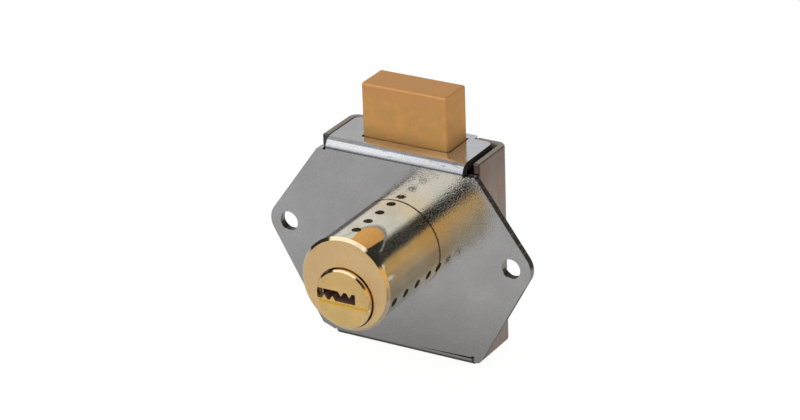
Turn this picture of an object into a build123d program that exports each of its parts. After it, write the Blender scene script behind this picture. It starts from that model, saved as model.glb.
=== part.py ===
"""Drawer lock with a 7/8 inch pin cylinder and a square-headed dead bolt.

Millimetres. X runs to the right, Y backwards into the cabinet, Z up.
The origin is on the plate's front face, on the cylinder's axis, midway between the two screw holes.
Every piece is drawn where it sits with the bolt thrown, as if the right key were in the cylinder.
"""

import os
from dataclasses import dataclass
from math import asin, cos, pi, radians, sin, sqrt

from build123d import *

# Mounting plate: one sheet, its top and bottom edges bent back as the walls of the lock case
plate_thickness = 2.0
screw_spacing = 58.4
screw_hole_radius = 2.4
ear_radius = 4.9
shoulder_top_overhang = 0.75
shoulder_top_round = 1.5
shoulder_bottom_overhang = 0.9
shoulder_bottom_round = 1.2
right_foot_drop = 2.1
bend_radius = 2.6
relief_width = 0.8
top_relief_depth = 0.3
bottom_relief_depth = 0.3

# Lock case, closed behind by the cover
case_top = 23.0
case_drop = 27.2
case_depth = 16.2
case_width = 40.9
cover_thickness = 1.75
cover_front_gap = 0.35
cover_inset = 0.15
cover_corner_radius = 2.4
hook_width = 25.0
hook_gap = 0.1
hook_proud = 0.3
hook_round = 0.6
top_wall_side_gap = 0.85
top_wall_shift = -0.4
bottom_wall_side_gap = 0.15
wall_corner_round = 1.8

# Cylinder body: flange, barrel, and a spigot that passes through the plate
cylinder_length = 23.4
cylinder_radius = 11.1
flange_radius = 11.4
flange_thickness = 1.3
flange_chamfer = 0.7
flange_back_chamfer = 0.2
barrel_back_chamfer = 0.15
spigot_radius = 9.6
spigot_flat_width = 18.4
spigot_lip = 0.4
seat_gap = 0.05

# Retaining ring behind the plate
ring_thickness = 0.9
ring_width = 2.0
ring_groove_depth = 0.5
ring_mouth = 9.0

# Plug, which turns about its own axis below the cylinder's
plug_drop = 3.15
plug_radius = 6.4
plug_head_radius = 7.1
plug_head_seat = 1.1
plug_proud = 1.2
plug_chamfer = 0.4
plug_mouth_chamfer = 0.25
journal_radius = 5.0
journal_start = 0.6
running_gap = 0.05

# Keyway: a flat slot that opens at the plug's left side, with pointed wards, and a groove below it
keyway_right = 3.3
keyway_rise = 0.6
keyway_height = 2.5
keyway_end = 1.6
ward_width = 1.4
ward_rise = 1.1
top_wards = (-0.4, 1.75)
bottom_wards = (-4.7, -2.6)
face_groove_drop = 1.27
face_groove_height = 0.6
face_groove_depth = 0.35

# Pin chambers: one row above the plug and one beside it
pins_per_row = 4
top_row_setback = 5.9
top_row_start = 2.2
side_row_start = 4.5
side_row_drop = 0.35
chamber_radius = 1.1
pin_gap = 0.06
pin_edge = 0.15
nose_radius = 0.75
nose_point = 0.35
seat_wall = 0.75
key_pin_travel = 1.0
key_pin_reach = 0.5
bitting_step = 0.15
top_bitting = (1, 3, 0, 2)
side_bitting = (2, 0, 3, 1)
shear_gap = 0.1
top_driver_length = 2.6
side_driver_length = 1.4
top_cap_thickness = 1.2
side_cap_thickness = 0.6
top_cap_recess = 0.9
side_cap_recess = 0.6
spring_wire_radius = 0.12
spring_coil_radius = 0.75
spring_gap = 0.05
top_spring_turns = 3
side_spring_turns = 2
notch_setback = 0.1
notch_depth = 1.5

# Cam on the plug's square tang, with the pin that drives the bolt and the fixed pin that stops the cam
bolt_throw = 12.7
cam_gap = 0.1
cam_thickness = 1.6
cam_hub_radius = 5.4
cam_edge = 0.95
cam_hole_gap = 0.05
tang_width = 6.0
drive_pin_radius = 1.6
stop_pin_radius = 1.0
stop_pin_depth = 3.0
stop_pin_inset = 0.2
stop_gap = 0.3
stop_angle_gap = 1.4
press_gap = 0.02
cam_screw_radius = 1.2
cam_screw_length = 6.0
cam_screw_head_radius = 2.6
cam_screw_head_height = 1.4
cam_screw_slot_width = 0.7
cam_screw_slot_depth = 0.7

# Bolt: a head that fills the slot in the top wall, shoulders that stop under it, and a relieved tail
bolt_width = 22.2
bolt_thickness = 8.9
bolt_rise = 13.2
bolt_edge = 0.6
bolt_back_gap = 0.65
bolt_slot_gap = 0.35
head_drop = 4.0
tail_web = 4.2
shoulder_height = 14.0
shoulder_gap = 0.3
shoulder_side_gap = 1.6
drive_slot_floor_web = 1.6
drive_slot_gap = 0.2
drive_pin_end_gap = 0.4
cam_screw_clearance = 0.75

# Stations along Y, from the front to the back
flange_front = -cylinder_length
flange_back = flange_front + flange_thickness
head_seat = flange_front + plug_head_seat
row_pitch = (cylinder_length - top_row_setback - top_row_start) / (pins_per_row - 1)
ring_front = plate_thickness + seat_gap
ring_back = ring_front + ring_thickness
spigot_end = ring_back + seat_gap + spigot_lip
cam_front = spigot_end + cam_gap
cam_back = cam_front + cam_thickness
cover_inside = case_depth - cover_thickness
bolt_back = cover_inside - bolt_back_gap
bolt_front = bolt_back - bolt_thickness
tail_front = cam_back + cam_screw_head_height + cam_screw_clearance
tail_thickness = bolt_back - tail_front
drive_slot_floor = bolt_back - drive_slot_floor_web

# Widths along X
case_inside_width = case_width - 2 * cover_thickness
top_wall_width = case_inside_width - 2 * top_wall_side_gap
bottom_wall_width = case_inside_width - 2 * bottom_wall_side_gap
shoulder_span = case_inside_width - 2 * shoulder_side_gap
shoulder_top_width = case_width + 2 * shoulder_top_overhang
shoulder_bottom_width = case_width + 2 * shoulder_bottom_overhang

# Heights along Z
shoulder_top = case_top - bend_radius
shoulder_bottom = bend_radius - case_drop
wall_underside = case_top - plate_thickness
crank = bolt_throw / 2
drive_pin_height = crank - plug_drop
bolt_top = case_top + bolt_rise
head_bottom = case_top - head_drop
bolt_shoulder = wall_underside - shoulder_gap

# The crank moves the bolt by a cosine, and here the bolt follows the cam evenly instead, so the slot
# in the bolt is taller than the drive pin by the largest difference between the two, above and below.
worst_turn = asin(2 / pi)
crank_allowance = crank * (2 * worst_turn / pi - 1 + cos(worst_turn))
drive_slot_half = drive_pin_radius + crank_allowance + drive_slot_gap
tail_bottom = drive_pin_height - drive_slot_half - tail_web

# Fits of the pins in their chambers
pin_radius = chamber_radius - pin_gap
nose_bore = nose_radius + pin_gap
driver_start = plug_radius + shear_gap
keyway_ceiling = keyway_rise + keyway_height / 2
keyway_floor = keyway_rise - keyway_height / 2


def front(y=0.0, height=0.0):
    """A drawing plane seen from the front. Extruding by a negative amount goes back, along +Y."""
    return Plane(origin=(0, y, height), x_dir=(1, 0, 0), z_dir=(0, -1, 0))


def write(builder, name):
    builder.part.label = name
    export_step(builder.part, f"parts/{name}.step")


@dataclass
class PinRow:
    """A row of chambers, on planes whose normal runs from the plug's axis out through the barrel."""

    name: str
    normal: tuple
    drop: float
    start: float
    bitting: tuple
    keyway_wall: float
    surface: float
    driver_length: float
    cap_thickness: float
    cap_recess: float
    spring_turns: int

    @property
    def seat(self):
        return self.keyway_wall + seat_wall

    @property
    def deepest(self):
        """How near the axis the longest key pin reaches with the key out."""
        longest = self.keyway_wall - key_pin_reach - max(self.bitting) * bitting_step
        return longest - key_pin_travel - pin_gap

    @property
    def key_pin_end(self):
        return sqrt(plug_radius**2 - (pin_radius + self.drop) ** 2)

    @property
    def driver_end(self):
        return driver_start + self.driver_length

    @property
    def cap_outside(self):
        return self.surface - self.cap_recess

    @property
    def cap_inside(self):
        return self.cap_outside - self.cap_thickness

    def plane(self, y):
        return Plane(origin=(0, y, -plug_drop - self.drop), x_dir=(0, 1, 0), z_dir=self.normal)

    def planes(self):
        return [self.plane(-self.start - place * row_pitch) for place in range(pins_per_row)]

    def tip(self, place):
        cut = self.bitting[place % len(self.bitting)]
        return self.keyway_wall - key_pin_reach - cut * bitting_step


top_row = PinRow(
    "top", (0, 0, 1), 0.0, top_row_start, top_bitting, keyway_ceiling, cylinder_radius + plug_drop,
    top_driver_length, top_cap_thickness, top_cap_recess, top_spring_turns,
)
side_row = PinRow(
    "side", (1, 0, 0), side_row_drop, side_row_start, side_bitting, keyway_right,
    sqrt(cylinder_radius**2 - (plug_drop + side_row_drop) ** 2),
    side_driver_length, side_cap_thickness, side_cap_recess, side_spring_turns,
)

os.makedirs("parts", exist_ok=True)

# Mounting plate: a flat hexagon with rounded ears, and a channel of front, top and bottom walls
with BuildPart() as mounting_plate:
    with BuildSketch(front()):
        with Locations((screw_spacing / 2, 0), (-screw_spacing / 2, 0)):
            Circle(ear_radius)
        top_corner = shoulder_top_width / 2 - shoulder_top_round
        with Locations(*[(x, shoulder_top - shoulder_top_round) for x in (top_corner, -top_corner)]):
            Circle(shoulder_top_round)
        low_corner = shoulder_bottom_width / 2 - shoulder_bottom_round
        for x, drop in ((-low_corner, 0.0), (low_corner, right_foot_drop)):
            with Locations((x, shoulder_bottom - drop + shoulder_bottom_round)):
                Circle(shoulder_bottom_round)
        make_hull()
        with Locations((0, shoulder_bottom)):
            Rectangle(
                bottom_wall_width + 2 * relief_width, right_foot_drop,
                align=(Align.CENTER, Align.MAX), mode=Mode.SUBTRACT,
            )
        for height, width, shift, depth in (
            (shoulder_top, top_wall_width, top_wall_shift, top_relief_depth),
            (shoulder_bottom, bottom_wall_width, 0.0, bottom_relief_depth),
        ):
            relief_x = (width + relief_width) / 2
            with Locations((shift - relief_x, height), (shift + relief_x, height)):
                Rectangle(relief_width, 2 * depth, mode=Mode.SUBTRACT)
    extrude(amount=-plate_thickness)
    for height, width, shift, inside in (
        (case_top, top_wall_width, top_wall_shift, Side.LEFT),
        (-case_drop, bottom_wall_width, 0.0, Side.RIGHT),
    ):
        with BuildSketch(Plane.YZ.offset(shift - width / 2)):
            with BuildLine():
                FilletPolyline((cover_inside, height), (0, height), (0, 0), radius=bend_radius)
                offset(amount=plate_thickness, side=inside)
            make_face()
        extrude(amount=width)
    fillet(mounting_plate.edges().filter_by(Axis.Z).group_by(Axis.Y)[-1], wall_corner_round)
    for height, rise in ((case_top, -plate_thickness), (-case_drop, plate_thickness)):
        with BuildSketch(Plane.XY.offset(height)):
            with Locations((0, cover_inside)):
                Rectangle(hook_width, cover_thickness + hook_proud, align=(Align.CENTER, Align.MIN))
        extrude(amount=rise)
    fillet(mounting_plate.edges().filter_by(Axis.Z).group_by(Axis.Y)[-1], hook_round)
    with BuildSketch(front()):
        with Locations((screw_spacing / 2, 0), (-screw_spacing / 2, 0)):
            Circle(screw_hole_radius)
    extrude(amount=-plate_thickness, mode=Mode.SUBTRACT)
    with BuildSketch(front()):
        Circle(spigot_radius + seat_gap)
        Rectangle(
            spigot_flat_width + 2 * seat_gap, 2 * cylinder_radius, mode=Mode.INTERSECT
        )
    extrude(amount=-plate_thickness, mode=Mode.SUBTRACT)
    with BuildSketch(Plane.XY.offset(wall_underside)):
        with Locations((0, (bolt_front + bolt_back) / 2)):
            Rectangle(bolt_width + 2 * bolt_slot_gap, bolt_thickness + 2 * bolt_slot_gap)
    extrude(amount=plate_thickness, mode=Mode.SUBTRACT)
write(mounting_plate, "mounting_plate")

# Rear cover: the back and both sides of the case, notched where the plate's hooks are staked
with BuildPart() as rear_cover:
    with BuildSketch(Plane.XY.offset(cover_inset - case_drop)):
        with BuildLine():
            left, right = -case_width / 2, case_width / 2
            cover_front = plate_thickness + cover_front_gap
            FilletPolyline(
                (left, cover_front), (left, case_depth), (right, case_depth), (right, cover_front),
                radius=cover_corner_radius,
            )
            offset(amount=cover_thickness, side=Side.RIGHT)
        make_face()
    extrude(amount=case_top + case_drop - 2 * cover_inset)
    hook_cut = plate_thickness + hook_gap
    with BuildSketch(front(cover_inside)):
        with Locations((0, case_top - hook_cut)):
            Rectangle(hook_width + 2 * hook_gap, hook_cut, align=(Align.CENTER, Align.MIN))
        with Locations((0, -case_drop)):
            Rectangle(hook_width + 2 * hook_gap, hook_cut, align=(Align.CENTER, Align.MIN))
    extrude(amount=-cover_thickness, mode=Mode.SUBTRACT)
write(rear_cover, "rear_cover")

# Cylinder body: turned flange and barrel, flatted and grooved spigot, bores for the plug and its pins
with BuildPart() as cylinder_body:
    with BuildSketch(front(flange_front)):
        Circle(flange_radius)
    extrude(amount=-flange_thickness)
    rim = cylinder_body.edges().filter_by(GeomType.CIRCLE).sort_by(Axis.Y)
    chamfer(rim[0], flange_chamfer)
    chamfer(rim[-1], flange_back_chamfer)
    with BuildSketch(front(flange_back)):
        Circle(cylinder_radius)
    extrude(amount=flange_back)
    barrel_end = cylinder_body.edges().filter_by(GeomType.CIRCLE).sort_by(Axis.Y)[-1]
    chamfer(barrel_end, barrel_back_chamfer)
    with BuildSketch(front()):
        Circle(spigot_radius)
        Rectangle(spigot_flat_width, 2 * cylinder_radius, mode=Mode.INTERSECT)
    extrude(amount=-spigot_end)
    with BuildSketch(front(plate_thickness)):
        Circle(cylinder_radius)
        Circle(spigot_radius - ring_groove_depth, mode=Mode.SUBTRACT)
    extrude(amount=-(ring_thickness + 2 * seat_gap), mode=Mode.SUBTRACT)
    with BuildSketch(front(flange_front, -plug_drop)):
        Circle(plug_head_radius + running_gap)
    extrude(amount=-(plug_head_seat + running_gap), mode=Mode.SUBTRACT)
    mouth = cylinder_body.edges().filter_by(GeomType.CIRCLE).group_by(Axis.Y)[0].sort_by(SortBy.RADIUS)[0]
    chamfer(mouth, plug_mouth_chamfer)
    with BuildSketch(front(flange_front, -plug_drop)):
        Circle(plug_radius + running_gap)
    extrude(amount=-(cylinder_length - journal_start + running_gap), mode=Mode.SUBTRACT)
    with BuildSketch(front(-journal_start, -plug_drop)):
        Circle(journal_radius + running_gap)
    extrude(amount=-(spigot_end + journal_start), mode=Mode.SUBTRACT)
    for row in (top_row, side_row):
        for plane in row.planes():
            with BuildSketch(plane.offset(plug_radius - chamber_radius)):
                Circle(chamber_radius)
            extrude(amount=row.surface, mode=Mode.SUBTRACT)
    with BuildSketch(side_row.plane(-notch_setback).offset(side_row.surface - notch_depth)):
        Circle(chamber_radius)
    extrude(amount=cylinder_radius, mode=Mode.SUBTRACT)
    stop_circle = cam_hub_radius + stop_gap + stop_pin_radius
    with BuildSketch(front(spigot_end, -plug_drop)):
        with Locations((-stop_circle, 0)):
            Circle(stop_pin_radius + press_gap)
    extrude(amount=stop_pin_depth, mode=Mode.SUBTRACT)
write(cylinder_body, "cylinder_body")

# Retaining ring: an open ring that snaps into the spigot's groove behind the plate
with BuildPart() as retaining_ring:
    ring_radius = spigot_radius - ring_groove_depth + seat_gap
    with BuildSketch(front(ring_front)):
        Circle(ring_radius + ring_width)
        Circle(ring_radius, mode=Mode.SUBTRACT)
        Rectangle(
            ring_mouth, 2 * cylinder_radius, align=(Align.CENTER, Align.MAX), mode=Mode.SUBTRACT
        )
    extrude(amount=-ring_thickness)
write(retaining_ring, "retaining_ring")

# Stop pin: pressed into the spigot's end, it ends the cam's turn after half a turn each way
with BuildPart() as stop_pin:
    stop_pin_rise = cam_gap + cam_thickness - stop_pin_inset
    with BuildSketch(front(spigot_end - stop_pin_depth, -plug_drop)):
        with Locations((-stop_circle, 0)):
            Circle(stop_pin_radius)
    extrude(amount=-(stop_pin_depth + stop_pin_rise))
write(stop_pin, "stop_pin")

# Plug: head, shank, journal and square tang, with the keyway and the lower halves of the chambers
with BuildPart() as plug:
    plug_face = front(flange_front - plug_proud, -plug_drop)
    with BuildSketch(plug_face):
        Circle(plug_head_radius)
    extrude(amount=-(plug_proud + plug_head_seat))
    chamfer(plug.edges().filter_by(GeomType.CIRCLE).sort_by(Axis.Y)[0], plug_chamfer)
    with BuildSketch(front(head_seat, -plug_drop)):
        Circle(plug_radius)
    extrude(amount=head_seat + journal_start)
    with BuildSketch(front(-journal_start, -plug_drop)):
        Circle(journal_radius)
    extrude(amount=-(journal_start + cam_front))
    with BuildSketch(front(cam_front, -plug_drop)):
        Rectangle(tang_width, tang_width)
    extrude(amount=-(cam_thickness - seat_gap))
    with BuildSketch(plug_face):
        with Locations((keyway_right, keyway_rise)):
            Rectangle(2 * plug_head_radius, keyway_height, align=(Align.MAX, Align.CENTER))
        for wards, root, rise in (
            (top_wards, keyway_ceiling, -ward_rise), (bottom_wards, keyway_floor, ward_rise),
        ):
            for x in wards:
                with BuildLine():
                    Polyline(
                        (x - ward_width / 2, root), (x, root + rise), (x + ward_width / 2, root),
                        close=True,
                    )
                make_face(mode=Mode.SUBTRACT)
    extrude(amount=-(cylinder_length + plug_proud - keyway_end), mode=Mode.SUBTRACT)
    with BuildSketch(plug_face):
        with Locations((0, -face_groove_drop)):
            Rectangle(2 * plug_head_radius, face_groove_height)
    extrude(amount=-face_groove_depth, mode=Mode.SUBTRACT)
    for row in (top_row, side_row):
        for plane in row.planes():
            with BuildSketch(plane.offset(row.seat)):
                Circle(chamber_radius)
            extrude(amount=plug_radius, mode=Mode.SUBTRACT)
            with BuildSketch(plane.offset(row.deepest)):
                Circle(nose_bore)
            extrude(amount=row.seat - row.deepest, mode=Mode.SUBTRACT)
    with BuildSketch(front(cam_back, -plug_drop)):
        Circle(cam_screw_radius + press_gap)
    extrude(amount=cam_screw_length, mode=Mode.SUBTRACT)
write(plug, "plug")

# Cam: a hub on the tang and a sector that carries the drive pin and clears the stop pin
with BuildPart() as cam:
    stop_angle = radians(stop_angle_gap) + asin(stop_pin_radius / stop_circle)
    with BuildSketch(front(cam_front, -plug_drop)):
        cam_radius = crank + drive_pin_radius + cam_edge
        Circle(cam_radius)
        with BuildLine():
            Polyline(
                (0, 0), (-cam_radius, cam_radius * sin(stop_angle)), (-cam_radius, -cam_radius),
                (cam_radius, -cam_radius), (cam_radius, cam_radius * sin(stop_angle)), close=True,
            )
        make_face(mode=Mode.SUBTRACT)
        Circle(cam_hub_radius)
        tang_hole = tang_width + 2 * cam_hole_gap
        Rectangle(tang_hole, tang_hole, mode=Mode.SUBTRACT)
        with Locations((0, crank)):
            Circle(drive_pin_radius + press_gap, mode=Mode.SUBTRACT)
    extrude(amount=-cam_thickness)
write(cam, "cam")

with BuildPart() as drive_pin:
    with BuildSketch(front(cam_front, drive_pin_height)):
        Circle(drive_pin_radius)
    extrude(amount=-(drive_slot_floor - drive_pin_end_gap - cam_front))
    chamfer(drive_pin.edges().filter_by(GeomType.CIRCLE).sort_by(Axis.Y)[-1], pin_edge)
write(drive_pin, "drive_pin")

with BuildPart() as cam_screw:
    with BuildSketch(front(cam_back, -plug_drop)):
        Circle(cam_screw_head_radius)
    extrude(amount=-cam_screw_head_height)
    chamfer(cam_screw.edges().filter_by(GeomType.CIRCLE).sort_by(Axis.Y)[-1], pin_edge)
    with BuildSketch(front(cam_back, -plug_drop)):
        Circle(cam_screw_radius)
    extrude(amount=cam_screw_length - seat_gap)
    with BuildSketch(front(cam_back + cam_screw_head_height, -plug_drop)):
        Rectangle(2 * cam_screw_head_radius, cam_screw_slot_width)
    extrude(amount=cam_screw_slot_depth, mode=Mode.SUBTRACT)
write(cam_screw, "cam_screw")

# Bolt: the head and tail in one block, with shoulders at its sides and the cross slot for the drive pin
with BuildPart() as bolt:
    with BuildSketch(Plane.XY.offset(head_bottom)):
        with Locations((0, bolt_front)):
            Rectangle(bolt_width, bolt_thickness, align=(Align.CENTER, Align.MIN))
    extrude(amount=bolt_top - head_bottom)
    head_edges = bolt.edges().group_by(Axis.Z)[-1] + bolt.edges().filter_by(Axis.Z)
    fillet(head_edges, bolt_edge)
    with BuildSketch(Plane.XY.offset(tail_bottom)):
        with Locations((0, bolt_back)):
            Rectangle(bolt_width, tail_thickness, align=(Align.CENTER, Align.MAX))
    extrude(amount=head_bottom - tail_bottom)
    with BuildSketch(Plane.XY.offset(bolt_shoulder)):
        with Locations((0, bolt_back)):
            Rectangle(shoulder_span, tail_thickness, align=(Align.CENTER, Align.MAX))
    extrude(amount=-shoulder_height)
    with BuildSketch(front(tail_front, drive_pin_height)):
        SlotOverall(2 * (crank + drive_pin_radius + drive_slot_gap), 2 * drive_slot_half)
    extrude(amount=tail_front - drive_slot_floor, mode=Mode.SUBTRACT)
write(bolt, "bolt")

# Pin stacks: in each chamber a key pin in the plug, then a driver pin, a spring and a pressed cap
for row in (top_row, side_row):
    for place, plane in enumerate(row.planes()):
        outwards = Axis(plane.origin, plane.z_dir)
        number = place + 1

        with BuildPart() as key_pin:
            body_start = row.seat + key_pin_travel + seat_gap
            with BuildSketch(plane.offset(body_start)):
                Circle(pin_radius)
            extrude(amount=row.key_pin_end - body_start)
            with BuildSketch(plane.offset(row.tip(place))):
                Circle(nose_radius)
            extrude(amount=body_start - row.tip(place))
            ends = key_pin.edges().filter_by(GeomType.CIRCLE).sort_by(outwards)
            chamfer(ends[0], nose_point)
            chamfer(ends[-1], pin_edge)
        write(key_pin, f"key_pin_{row.name}_{number}")

        with BuildPart() as driver_pin:
            with BuildSketch(plane.offset(driver_start)):
                Circle(pin_radius)
            extrude(amount=row.driver_end - driver_start)
            chamfer(driver_pin.edges().filter_by(GeomType.CIRCLE), pin_edge)
        write(driver_pin, f"driver_pin_{row.name}_{number}")

        with BuildPart() as pin_spring:
            spring_start = row.driver_end + spring_gap + spring_wire_radius
            spring_height = row.cap_inside - spring_gap - spring_wire_radius - spring_start
            with BuildLine(plane.offset(spring_start)) as coil:
                Helix(
                    spring_height / row.spring_turns, spring_height, spring_coil_radius,
                    direction=row.normal,
                )
            with BuildSketch(Plane(coil.line @ 0, z_dir=coil.line % 0)):
                RegularPolygon(spring_wire_radius, 4)
            sweep(is_frenet=True)
        write(pin_spring, f"pin_spring_{row.name}_{number}")

        with BuildPart() as chamber_cap:
            with BuildSketch(plane.offset(row.cap_inside)):
                Circle(chamber_radius - press_gap)
            extrude(amount=row.cap_outside - row.cap_inside)
        write(chamber_cap, f"chamber_cap_{row.name}_{number}")
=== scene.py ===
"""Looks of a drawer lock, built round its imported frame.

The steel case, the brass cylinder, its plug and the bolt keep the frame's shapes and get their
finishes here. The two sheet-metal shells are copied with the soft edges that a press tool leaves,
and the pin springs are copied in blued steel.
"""

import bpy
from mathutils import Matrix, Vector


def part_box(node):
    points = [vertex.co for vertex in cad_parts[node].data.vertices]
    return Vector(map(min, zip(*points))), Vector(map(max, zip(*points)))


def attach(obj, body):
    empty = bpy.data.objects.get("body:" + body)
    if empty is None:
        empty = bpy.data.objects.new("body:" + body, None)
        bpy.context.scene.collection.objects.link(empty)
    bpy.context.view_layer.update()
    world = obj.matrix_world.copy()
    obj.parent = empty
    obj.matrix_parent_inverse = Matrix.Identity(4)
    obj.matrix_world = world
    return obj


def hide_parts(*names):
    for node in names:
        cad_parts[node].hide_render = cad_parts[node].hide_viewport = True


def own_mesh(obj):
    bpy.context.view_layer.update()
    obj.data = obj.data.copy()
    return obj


bl_info = {
    "name": "Drawer Lock",
    "version": (1, 0, 0),
    "blender": (4, 5, 0),
    "location": "View3D > Sidebar > Drawer Lock",
    "description": "Plated steel case, polished brass cylinder and satin brass bolt of a drawer lock",
    "category": "Object",
}

from math import cos, radians, sin

import bpy
from bpy.props import FloatProperty, FloatVectorProperty, PointerProperty
from mathutils import Matrix, Vector

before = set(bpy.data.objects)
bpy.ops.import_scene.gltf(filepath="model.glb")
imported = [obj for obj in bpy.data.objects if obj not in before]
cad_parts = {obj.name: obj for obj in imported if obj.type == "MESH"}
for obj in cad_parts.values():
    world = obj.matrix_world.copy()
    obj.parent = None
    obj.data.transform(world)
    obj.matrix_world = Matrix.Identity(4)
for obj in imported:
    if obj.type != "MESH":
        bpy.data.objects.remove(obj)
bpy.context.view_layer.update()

MM = 0.001

# The pin stacks: how many stand in a row, and which way each row points.
PINS_PER_ROW = 4
ROWS = {"top": Vector((0, 0, 1)), "side": Vector((1, 0, 0))}

# The plate: its back, the foot of its top bend, the right end of its top wall and its screw holes.
PLATE_LOW, PLATE_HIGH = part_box("mounting_plate")
PLATE_TOP = PLATE_HIGH.z
PLATE_BACK = 2.0 * MM
BEND_HEIGHT = 2.6 * MM
BEND_LOW = PLATE_TOP - BEND_HEIGHT
WALL_RIGHT = 17.45 * MM
SCREW_OUT = 29.2 * MM
SCREW_RADIUS = 2.4 * MM

# The cover: its front, its top and the inner faces of its sides.
COVER_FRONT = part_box("rear_cover")[0].y
COVER_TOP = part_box("rear_cover")[1].z
COVER_INSIDE = 18.7 * MM

# The cylinder and the plug: how deep the flange, the facing and the plug's groove go, the plug's axis
# and radius, and how far below its axis the groove lies. A front's finish is full to FRONT_FULL of its
# depth.
CYLINDER_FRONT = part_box("cylinder_body")[0].y
FLANGE_DEPTH = 0.74 * MM
FACING_DEPTH = 0.03 * MM
PLUG_LOW, PLUG_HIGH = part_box("plug")
PLUG_HEIGHT = (PLUG_LOW.z + PLUG_HIGH.z) / 2
PLUG_RADIUS = (PLUG_HIGH.z - PLUG_LOW.z) / 2
GROOVE_DROP = 1.27 * MM
GROOVE_DEPTH = 0.40 * MM
FRONT_FULL = 0.8

BOLT_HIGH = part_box("bolt")[1]

# Where each part of a finish lies along an axis. Of two values, it starts at the first and is full
# from the second on. Of four, it starts, is full, begins to fade and ends.
# painted shade low on the plate
SHADED_FOOT = (-6 * MM, PLATE_LOW.z)
GRIMY_FOOT = (PLATE_LOW.z + 1.6 * MM, PLATE_LOW.z + 0.4 * MM)
BEND = (BEND_LOW, BEND_LOW + 0.3 * BEND_HEIGHT, PLATE_TOP - 0.40 * MM, PLATE_TOP - 0.10 * MM)
BEND_RIGHT_SHADE = (-4 * MM, 12 * MM)
BEND_SHADE = (PLATE_TOP - 1.3 * MM, PLATE_TOP - 1.8 * MM)
BEND_CREASE_SHADE = (BEND_LOW, BEND_LOW + 0.15 * MM, BEND_LOW + 0.35 * MM, BEND_LOW + 0.5 * MM)
WALL_FACE = (PLATE_TOP - 0.3 * MM, PLATE_TOP - 0.1 * MM)
WALL_PAINTED_LIGHT = (2 * MM, 12 * MM)
WALL_END = (WALL_RIGHT - 0.08 * MM, WALL_RIGHT - 0.03 * MM, WALL_RIGHT + 0.2 * MM, WALL_RIGHT + 0.3 * MM)
WALL_END_HEIGHT = (BEND_LOW - 0.5 * MM, BEND_LOW)
CUT_DEPTH = (0.15 * MM, 0.35 * MM, PLATE_BACK - 0.2 * MM, PLATE_BACK)
CUT_HEIGHT = (BEND_LOW, BEND_LOW - 0.2 * MM)
EAR_TIP = (-5.5 * MM, -4.5 * MM, 0, 1.2 * MM)
HOLE_WALL = (SCREW_RADIUS + 0.35 * MM, SCREW_RADIUS + 0.2 * MM)
HOLE_TOP = (-0.9 * MM, -0.4 * MM)
COVER_DARK_TOP = (COVER_TOP - 6 * MM, COVER_TOP)
COVER_OUTLINE = (COVER_TOP - 0.55 * MM, COVER_TOP - 0.35 * MM)
COVER_RIM = (COVER_TOP - 0.30 * MM, COVER_TOP - 0.12 * MM)
COVER_FRONT_SHADE = (COVER_FRONT + 0.7 * MM, COVER_FRONT + 0.1 * MM)
BETWEEN_COVER_SIDES = (COVER_INSIDE + 0.10 * MM, COVER_INSIDE + 0.04 * MM)
YELLOW_BARREL = (-7 * MM, 1 * MM)
LOW_RIM_SHADE = (3 * MM, -4 * MM)
PLATE_SEAM = (-0.40 * MM, -0.20 * MM)
PLUG_SEAM = (PLUG_RADIUS + 0.45 * MM, PLUG_RADIUS + 0.35 * MM)
PLUG_FACE = (PLUG_RADIUS - 0.3 * MM, PLUG_RADIUS - 0.5 * MM)
GROOVE = (0.62 * MM, 0.5 * MM)
BOLT_END = (BOLT_HIGH.z - 3.3 * MM, BOLT_HIGH.z - 2.9 * MM)
BOLT_FOOT_SHADE = (PLATE_TOP + 3.5 * MM, PLATE_TOP)
BOLT_LIT_SIDE = (BOLT_HIGH.x - 0.10 * MM, BOLT_HIGH.x - 0.04 * MM)

# How far a noise moves the border of the cover's darker top, the yellow barrel and the rubbed end.
DARK_TOP_WAVER = 4 * MM
YELLOW_WAVER = 6 * MM
RUBBED_WAVER = 0.6 * MM

# How much of a surface a film, painted shade (the wall's end, the keyway) and painted light (the bolt's
# side) keep from mirroring, how much of the grain a bend loses, and what haze adds to a roughness.
PLATE_FILM = 0.34
BARREL_FILM = 0.09
BOLT_LIT_SIDE_MATT = 0.35
FILM_AND_SHADE = 0.8
BEND_SMOOTHNESS = 0.8
CUT_HAZE = 0.25
BARREL_HAZE = 0.04
PLUG_HAZE = (-0.04, 0.05)
CHAMFER_ROUGHNESS = 0.08
GROOVE_HAZE = 0.3

# Scale per metre, detail and roughness of each noise that breaks up a finish.
NOISES = {
    "zinc_clouds": (90, 4, 0.55),
    "zinc_patches": (420, 3, 0.6),
    "zinc_specks": (2600, 2, 0.5),
    "sheet_waves": (60, 2, 0.4),
    "sheet_grain": (3100, 0, 0.5),
    "film_specks": (3300, 1, 0.6),
    "bend_scuffs": (1700, 3, 0.6),
    "torn_edge": (2400, 3, 0.6),
    "cover_runs": (170, 3, 0.55),
    "barrel_clouds": (160, 3, 0.5),
    "barrel_grain": (2600, 0, 0.5),
    "buffing_lines": (3500, 2, 0.5),
    "facing_rings": (6000, 2, 0.6),
    "satin_grain": (3600, 1, 0.5),
    "plug_clouds": (260, 3, 0.55),
    "bolt_blotches": (420, 4, 0.65),
    "bolt_grain": (5200, 2, 0.6),
    "drawn_lines": (1900, 3, 0.6),
    "small_clouds": (700, 3, 0.6),
}

# How far each noise of lines or runs is squeezed along x, y and z; less than 1 draws it out.
SCUFFS_ALONG_BEND = (0.25, 1, 1)
TORN_ALONG_DEPTH = (1, 0.25, 1)
RUNS_DOWNWARDS = (1, 1, 0.35)
BUFFED_ROUND = (0.02, 1, 0.02)
DRAWN_UPWARDS = (1, 1, 0.10)

# What a film, wear or the cover's darker top does to the red, green and blue of the metal under it.
BROWN_FILM = (1.02, 0.78, 0.62)
BLUE_FILM = (0.88, 1.06, 1.32)
TOP_DARKENING = (0.62, 0.50, 0.50)
RUBBED_BRASS = (0.98, 0.90, 1.05)

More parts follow.
